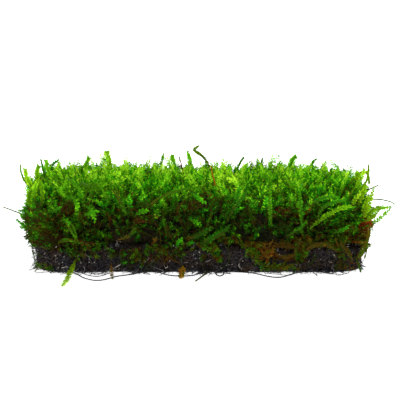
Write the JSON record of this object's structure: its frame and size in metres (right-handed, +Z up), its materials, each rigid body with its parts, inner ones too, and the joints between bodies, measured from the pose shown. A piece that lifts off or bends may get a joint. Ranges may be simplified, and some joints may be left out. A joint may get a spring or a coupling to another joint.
{
  "type": "moss clump",
  "caption": "Clump of aquarium moss, fresh green shoots over old dark growth, grown on a black fibre mat and tied down with thread.",
  "frame": {"origin": "centre of the fibre mat's flat underside", "axes": "+X along the clump's length, -Y its front, where the thread lies in slack bows, +Z up"},
  "size_m": [0.1194, 0.0776, 0.0331],
  "materials": {
    "fibre": "matt black plastic fibre, loosely bonded",
    "thread": "fine black thread",
    "moss": null,
    "young_shoot": null,
    "old_stem": null
  },
  "bodies": {
    "root": {"fibre_mat": "fibre", "moss_cushion": "moss", "binding_thread": "thread", "fine_thread": "thread", "thread_loop": "thread", "left_whisker": "old_stem", "left_curl": "young_shoot", "left_tall_frond": "young_shoot", "left_corner_frond": "young_shoot", "left_spike": "old_stem", "left_bud_frond": "young_shoot", "left_leaning_leaf": "young_shoot", "left_low_frond": "young_shoot", "tall_frond_left": "young_shoot", "bud_frond": "young_shoot", "tall_frond_middle": "young_shoot", "broad_tip": "young_shoot", "thin_tip": "young_shoot", "hooked_stem": "old_stem", "red_tip": "old_stem", "orange_stem": "old_stem", "curved_tip": "young_shoot", "small_spike": "old_stem", "leafy_head": "young_shoot", "leaning_tip": "young_shoot", "right_edge_stem": "young_shoot", "right_arch": "young_shoot", "right_whisker": "old_stem", "right_runner": "old_stem", "right_fan_upper": "young_shoot", "right_fan_lower": "young_shoot", "trailing_shoot": "young_shoot", "fallen_stem": "old_stem", "brown_sprig": "old_stem", "gold_leaf": "old_stem", "corner_sprig": "young_shoot"}
  },
  "joints": []
}
